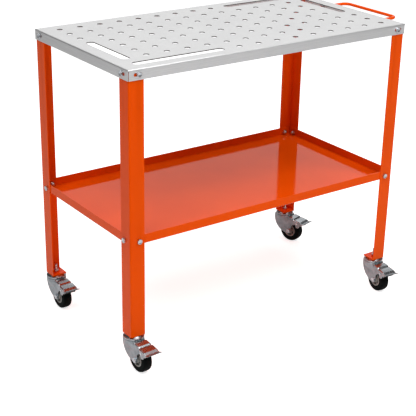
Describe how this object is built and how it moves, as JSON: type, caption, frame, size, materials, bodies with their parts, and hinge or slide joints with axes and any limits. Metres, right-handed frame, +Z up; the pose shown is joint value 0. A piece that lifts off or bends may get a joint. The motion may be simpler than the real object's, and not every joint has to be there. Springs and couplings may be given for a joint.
{
  "type": "welding table",
  "caption": "Rolling welding table with a perforated steel top, tool slots, angle legs, a tray shelf, a push handle and braked swivel casters.",
  "frame": {"origin": "on the floor, under the middle of the whole outline (handle and front pedals included)", "axes": "+X along the table towards the push handle, +Z up, the pedals of the front casters point to -Y"},
  "size_m": [1.018, 0.5633, 0.827],
  "materials": {
    "steel_top": "ground, satin",
    "orange_powder_coat": "glossy",
    "zinc_plated": "bright zinc",
    "chrome": "polished",
    "black_rubber": "semi-matte",
    "grey_hub": "moulded",
    "brake_rubber": "matte"
  },
  "bodies": {
    "table": {"tabletop": "steel_top", "leg_front_left": "orange_powder_coat", "leg_front_right": "orange_powder_coat", "leg_back_left": "orange_powder_coat", "leg_back_right": "orange_powder_coat", "foot_plates": "orange_powder_coat", "shelf_tray": "orange_powder_coat", "push_handle": "orange_powder_coat", "table_bolts": "zinc_plated", "table_nuts": "zinc_plated", "shelf_bolts": "zinc_plated", "shelf_nuts": "zinc_plated", "handle_nuts": "zinc_plated", "stem_nuts": "zinc_plated", "swivel_balls": "chrome", "stem_front_left": "zinc_plated", "top_race_front_left": "chrome", "stem_front_right": "zinc_plated", "top_race_front_right": "chrome", "stem_back_left": "zinc_plated", "top_race_back_left": "chrome", "stem_back_right": "zinc_plated", "top_race_back_right": "chrome"},
    "swivel_front_left": {"fork_front_left": "zinc_plated", "axle_bush_front_left": "zinc_plated", "axle_bolt_front_left": "zinc_plated", "axle_nut_front_left": "zinc_plated", "pedal_pin_front_left": "zinc_plated"},
    "wheel_front_left": {"tyre_front_left": "black_rubber", "hub_front_left": "grey_hub"},
    "brake_front_left": {"pedal_front_left": "chrome", "brake_shoe_front_left": "brake_rubber"},
    "swivel_front_right": {"fork_front_right": "zinc_plated", "axle_bush_front_right": "zinc_plated", "axle_bolt_front_right": "zinc_plated", "axle_nut_front_right": "zinc_plated", "pedal_pin_front_right": "zinc_plated"},
    "wheel_front_right": {"tyre_front_right": "black_rubber", "hub_front_right": "grey_hub"},
    "brake_front_right": {"pedal_front_right": "chrome", "brake_shoe_front_right": "brake_rubber"},
    "swivel_back_left": {"fork_back_left": "zinc_plated", "axle_bush_back_left": "zinc_plated", "axle_bolt_back_left": "zinc_plated", "axle_nut_back_left": "zinc_plated", "pedal_pin_back_left": "zinc_plated"},
    "wheel_back_left": {"tyre_back_left": "black_rubber", "hub_back_left": "grey_hub"},
    "brake_back_left": {"pedal_back_left": "chrome", "brake_shoe_back_left": "brake_rubber"},
    "swivel_back_right": {"fork_back_right": "zinc_plated", "axle_bush_back_right": "zinc_plated", "axle_bolt_back_right": "zinc_plated", "axle_nut_back_right": "zinc_plated", "pedal_pin_back_right": "zinc_plated"},
    "wheel_back_right": {"tyre_back_right": "black_rubber", "hub_back_right": "grey_hub"},
    "brake_back_right": {"pedal_back_right": "chrome", "brake_shoe_back_right": "brake_rubber"}
  },
  "joints": [
    {"name": "swivel_front_left_turn", "type": "hinge", "parent": "table", "child": "swivel_front_left", "pos_m": [-0.47975, -0.18338, 0.099], "axis": [0, 0, 1], "continuous": true},
    {"name": "wheel_front_left_roll", "type": "hinge", "parent": "swivel_front_left", "child": "wheel_front_left", "pos_m": [-0.47813, -0.21433, 0.0375], "axis": [0.9986, 0.0523, 0], "continuous": true},
    {"name": "brake_front_left_press", "type": "hinge", "parent": "swivel_front_left", "child": "brake_front_left", "pos_m": [-0.4764, -0.24729, 0.0725], "axis": [0.9986, 0.0523, 0], "range_deg": [0, 11]},
    {"name": "swivel_front_right_turn", "type": "hinge", "parent": "table", "child": "swivel_front_right", "pos_m": [0.38575, -0.18338, 0.099], "axis": [0, 0, 1], "continuous": true},
    {"name": "wheel_front_right_roll", "type": "hinge", "parent": "swivel_front_right", "child": "wheel_front_right", "pos_m": [0.38251, -0.21421, 0.0375], "axis": [0.9945, -0.1045, 0], "continuous": true},
    {"name": "brake_front_right_press", "type": "hinge", "parent": "swivel_front_right", "child": "brake_front_right", "pos_m": [0.37906, -0.24702, 0.0725], "axis": [0.9945, -0.1045, 0], "range_deg": [0, 11]},
    {"name": "swivel_back_left_turn", "type": "hinge", "parent": "table", "child": "swivel_back_left", "pos_m": [-0.47975, 0.25012, 0.099], "axis": [0, 0, 1], "continuous": true},
    {"name": "wheel_back_left_roll", "type": "hinge", "parent": "swivel_back_left", "child": "wheel_back_left", "pos_m": [-0.47921, 0.21913, 0.0375], "axis": [0.9998, 0.0175, 0], "continuous": true},
    {"name": "brake_back_left_press", "type": "hinge", "parent": "swivel_back_left", "child": "brake_back_left", "pos_m": [-0.47863, 0.18613, 0.0725], "axis": [0.9998, 0.0175, 0], "range_deg": [0, 11]},
    {"name": "swivel_back_right_turn", "type": "hinge", "parent": "table", "child": "swivel_back_right", "pos_m": [0.38575, 0.25012, 0.099], "axis": [0, 0, 1], "continuous": true},
    {"name": "wheel_back_right_roll", "type": "hinge", "parent": "swivel_back_right", "child": "wheel_back_right", "pos_m": [0.3943, 0.22033, 0.0375], "axis": [0.9613, 0.2756, 0], "continuous": true},
    {"name": "brake_back_right_press", "type": "hinge", "parent": "swivel_back_right", "child": "brake_back_right", "pos_m": [0.40339, 0.1886, 0.0725], "axis": [0.9613, 0.2756, 0], "range_deg": [0, 11]}
  ]
}
